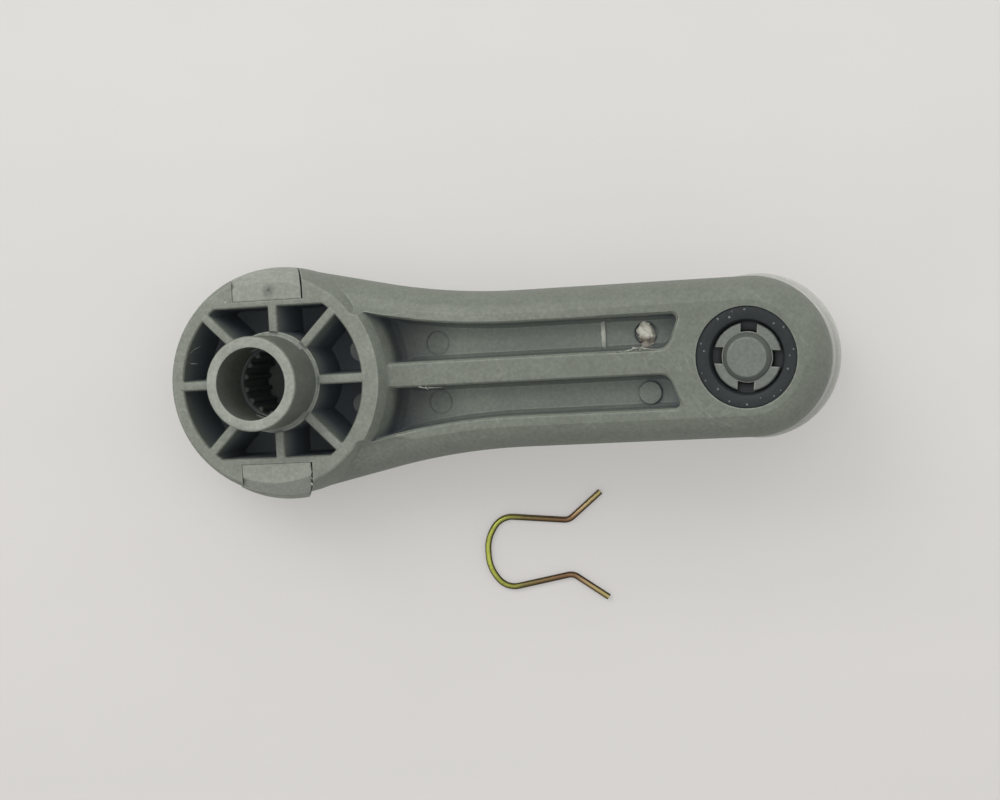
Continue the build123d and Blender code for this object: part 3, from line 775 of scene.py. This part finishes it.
# %% Pips
PIP_COUNT = 19
INNER_RING, OUTER_RING = 8.3, 9.15
FLANGE_DROP = 0.34
PIP_RADIUS, PIP_SPREAD, PIP_HEIGHT = 0.25, 0.14, 0.14
ANGLE_WANDER = 1.1

# painted highlight: the pips are paler than the bush
pip_painted_highlight_finish = moulded_plastic(
    "pip_painted_highlight_finish", tone(130, 136, 136), tone(160, 164, 162), rough=0.3, scuffs=0.0, dust=0.0, edges=0.0,
    depth=0.000002,
)
builder = bmesh.new()
for index in range(PIP_COUNT):
    wander = noise.noise(Vector((index * 1.37, 0.4, 0.0)))
    angle = 2 * pi * (index + ANGLE_WANDER * wander) / PIP_COUNT
    radius = OUTER_RING if index % 3 else INNER_RING
    centre = (KNOB_AXIS[0] + radius * cos(angle), radius * sin(angle), ARM_BACK - FLANGE_DROP)
    size = PIP_RADIUS + PIP_SPREAD * noise.noise(Vector((index * 2.1, 3.3, 0.0)))
    lump(builder, centre, (size, size, PIP_HEIGHT), detail=1)
added("bush_pips", builder, pip_painted_highlight_finish)

# %% [markdown]
# Thin flash was squeezed out where the mould's halves met. It stands along the inner edges of the channels,
# hangs into one hub pocket as wisps, and makes the seams beside the tongues jagged. Its pale finish is a
# painted highlight on the thin plastic. Each row is one sliver: where it grows, where it ends, how wide it is
# and how thick.

# %% Flash
SLIVERS = [
    ((72.3, 2.2, -3.3), (73.9, 2.75, -3.1), 0.50, 0.20),
    ((73.6, 2.3, -3.3), (74.1, 3.2, -3.2), 0.50, 0.20),
    ((73.9, 2.9, -3.3), (75.6, 2.8, -3.1), 0.45, 0.20),
    ((75.2, 2.4, -3.3), (76.0, 3.2, -3.2), 0.55, 0.22),
    ((75.8, 2.7, -3.3), (77.4, 2.6, -3.1), 0.45, 0.20),
    ((77.0, 2.4, -3.4), (78.6, 2.4, -3.1), 0.35, 0.16),
    ((70.4, 2.2, -3.3), (71.6, 2.4, -3.1), 0.30, 0.14),
    ((30.0, -2.5, -3.2), (31.8, -2.95, -3.0), 0.40, 0.16),
    ((31.4, -2.6, -3.2), (32.0, -3.2, -3.1), 0.35, 0.16),
    ((31.9, -2.8, -3.2), (34.9, -2.85, -3.0), 0.30, 0.14),
    ((53.2, 2.1, -3.2), (54.4, 2.5, -3.0), 0.35, 0.14),
    ((-9.8, 16.0, -0.3), (-8.3, 17.1, 0.2), 0.55, 0.24),
    ((-18.4, 6.3, -0.9), (-16.9, 7.5, -1.5), 0.24, 0.07),
    ((-16.9, 7.5, -1.5), (-15.6, 8.1, -2.0), 0.16, 0.06),
    ((-19.1, 5.6, -0.9), (-17.9, 4.6, -1.5), 0.24, 0.07),
    ((-17.9, 4.6, -1.5), (-16.5, 4.5, -2.0), 0.18, 0.06),
    ((7.1, -16.8, -0.1), (7.5, -17.9, 0.06), 0.35, 0.14),
    ((7.5, -18.2, -0.3), (7.0, -19.3, -0.1), 0.40, 0.16),
    ((7.1, -19.5, -0.4), (7.7, -20.5, -0.5), 0.35, 0.14),
    ((6.9, -20.7, -1.0), (7.2, -21.8, -1.6), 0.40, 0.16),
]

# painted highlight: the flash and the bead are much paler than the arm
flash_painted_highlight_finish = moulded_plastic(
    "flash_painted_highlight_plastic", tone(206, 209, 196), tone(214, 216, 204), rough=0.45, scuffs=0.0, dust=0.0, edges=0.0,
    depth=0.000003, deep=tone(176, 179, 168),
)
builder = bmesh.new()
for sliver in SLIVERS:
    flake(builder, *sliver)
added("mould_flash", builder, flash_painted_highlight_finish)

# %% [markdown]
# A low bead crosses the upper channel where two inserts of the mould met. It is a flat bar whose long edges
# are rounded off, in the same pale finish as the flash, a painted highlight.

# %% Bead
BEAD_SIZE = mm(0.95, 6.0, 0.5)
BEAD_PLACE = at(66.75, 5.9, -10.08)
BEAD_ROUNDING = 0.0002

builder = bmesh.new()
bar = bmesh.ops.create_cube(builder, size=1.0)["verts"]
bmesh.ops.scale(builder, verts=bar, vec=BEAD_SIZE)
bmesh.ops.translate(builder, verts=bar, vec=BEAD_PLACE)
long_edges = [edge for edge in builder.edges if edge.calc_length() > 0.9 * BEAD_SIZE.y]
bmesh.ops.bevel(
    builder, geom=long_edges, offset=BEAD_ROUNDING, segments=3, profile=0.5, affect="EDGES", material=-1
)
added("channel_bead", builder, flash_painted_highlight_finish)

# %% [markdown]
# ## Table finish
# The table is a pale warm board with faint smudges and streaks and a very soft grain.

# %% Table surface
SMUDGE_CUT, STREAK_CUT, STREAK_SHARE = (0.35, 0.75), (0.4, 0.8), 0.5
CLEAN_ROUGHNESS, SMUDGED_ROUGHNESS = 0.55, 0.7

table_finish, board, shader, place = fresh_material("pale_table")
smudge = board.step(board.noise(place, 9.0, detail=4.0, rough=0.6, twist=0.3), *SMUDGE_CUT)
stretched = board.add("ShaderNodeMapping", {"Vector": place, "Scale": (3.0, 40.0, 1.0)}).outputs[0]
streaks = board.step(board.noise(stretched, 1.0), *STREAK_CUT)
surface = board.blend(smudge, tone(222, 219, 216), tone(216, 213, 210))
surface = board.blend(board.times(streaks, STREAK_SHARE), surface, tone(214, 212, 207))
board.link(surface, shader.inputs["Base Color"])
board.link(board.between(smudge, CLEAN_ROUGHNESS, SMUDGED_ROUGHNESS), shader.inputs["Roughness"])
board.link(board.bump(board.noise(place, 700.0), 0.00002), shader.inputs["Normal"])
table.data.materials.append(table_finish)
print("the table is", table_finish.name)

# %% [markdown]
# Part of the table's paleness is seen by the camera alone, so that it doesn't throw more light up on the
# handle than a plain board would, and the shadow on it stays light: painted light over the shadow. That part
# is painted a little darker in front than behind, as painted shade. The mix goes in between the shader and
# the material's output.

# %% Paleness that only the camera sees
CAMERA_SHARE, SMUDGES_SEEN = 0.42, 0.25
FRONT_TO_BEHIND = (-0.09, 0.07)

from_front = board.step(board.split(place)[1], *FRONT_TO_BEHIND)
# painted shade: the camera-only paleness is darker towards the front
pale = board.blend(from_front, tone(207, 203, 200), tone(221, 219, 215))
pale = board.blend(board.times(smudge, SMUDGES_SEEN), pale, surface)
glow = board.add("ShaderNodeEmission", {0: pale, 1: 1.0})
seen = board.times(board.add("ShaderNodeLightPath").outputs["Is Camera Ray"], CAMERA_SHARE)
material_surface = shader.outputs[0].links[0].to_socket
both = board.add("ShaderNodeMixShader", {0: seen, 1: shader.outputs[0], 2: glow.outputs[0]})
board.link(both.outputs[0], material_surface)
print("the camera sees", CAMERA_SHARE, "of the table as plain paleness")

# %% [markdown]
# ## Light
# The light is soft, so the shadows are short and blurred. The front is the side of -Y. The key lamp stands
# behind the handle and a little to its left, a wide lamp overhead softens it, and a weak one to the right
# keeps the dark sides readable.

# %% Lamps
MIDDLE = at(45, -5, -10)
WARM_WHITE, WHITE = (1.0, 0.99, 0.97), (1.0, 1.0, 1.0)


def soft_lamp(name, offset, size, power, colour=WHITE):
    """A square lamp that faces the middle of the handle."""
    data = bpy.data.lights.new(name, "AREA")
    data.shape = "SQUARE"
    data.size = size
    data.energy = power
    data.color = colour
    lamp = bpy.data.objects.new(name, data)
    scene.collection.objects.link(lamp)
    lamp.location = MIDDLE + Vector(offset)
    lamp.rotation_mode = "QUATERNION"
    lamp.rotation_quaternion = (MIDDLE - lamp.location).to_track_quat("-Z", "Y")
    print(name, "lamp of", power, "W, seen", size, "m wide")


soft_lamp("key", (-0.35, 0.85, 1.25), 0.8, 5.4, WARM_WHITE)
soft_lamp("fill", (1.0, 0.3, 0.8), 1.2, 0.8)
soft_lamp("top", (0.0, 0.2, 1.5), 1.8, 2.8)

# %% [markdown]
# The world fills the rest, more from behind the handle than from in front of it. Rays from the camera and
# mirrored rays see a plain pale backdrop in its place, which can be any colour without changing the light.

# %% World
FILL_COLOUR = (0.97, 0.98, 1.0, 1.0)
FILL_BY_DIRECTION = (-0.9, 0.9, 0.34, 1.22)

world = bpy.data.worlds.new("world")
scene.world = world
world.use_nodes = True
world.node_tree.nodes.clear()
board = Board(world.node_tree)
rays = board.add("ShaderNodeLightPath").outputs
seen = board.maths("MAXIMUM", rays["Is Camera Ray"], rays["Is Glossy Ray"])
way_back = board.split(board.add("ShaderNodeTexCoord").outputs["Generated"])[1]
strength = board.step(way_back, *FILL_BY_DIRECTION)
fill_light = board.add("ShaderNodeBackground", {0: FILL_COLOUR, 1: strength})
backdrop = board.add("ShaderNodeBackground", {0: tone(220, 217, 213), 1: 1.0})
mixed = board.add("ShaderNodeMixShader", {0: seen, 1: fill_light.outputs[0], 2: backdrop.outputs[0]})
board.add("ShaderNodeOutputWorld", {0: mixed.outputs[0]})

scene.view_settings.view_transform = "Standard"
print("view transform:", scene.view_settings.view_transform)

# %% [markdown]
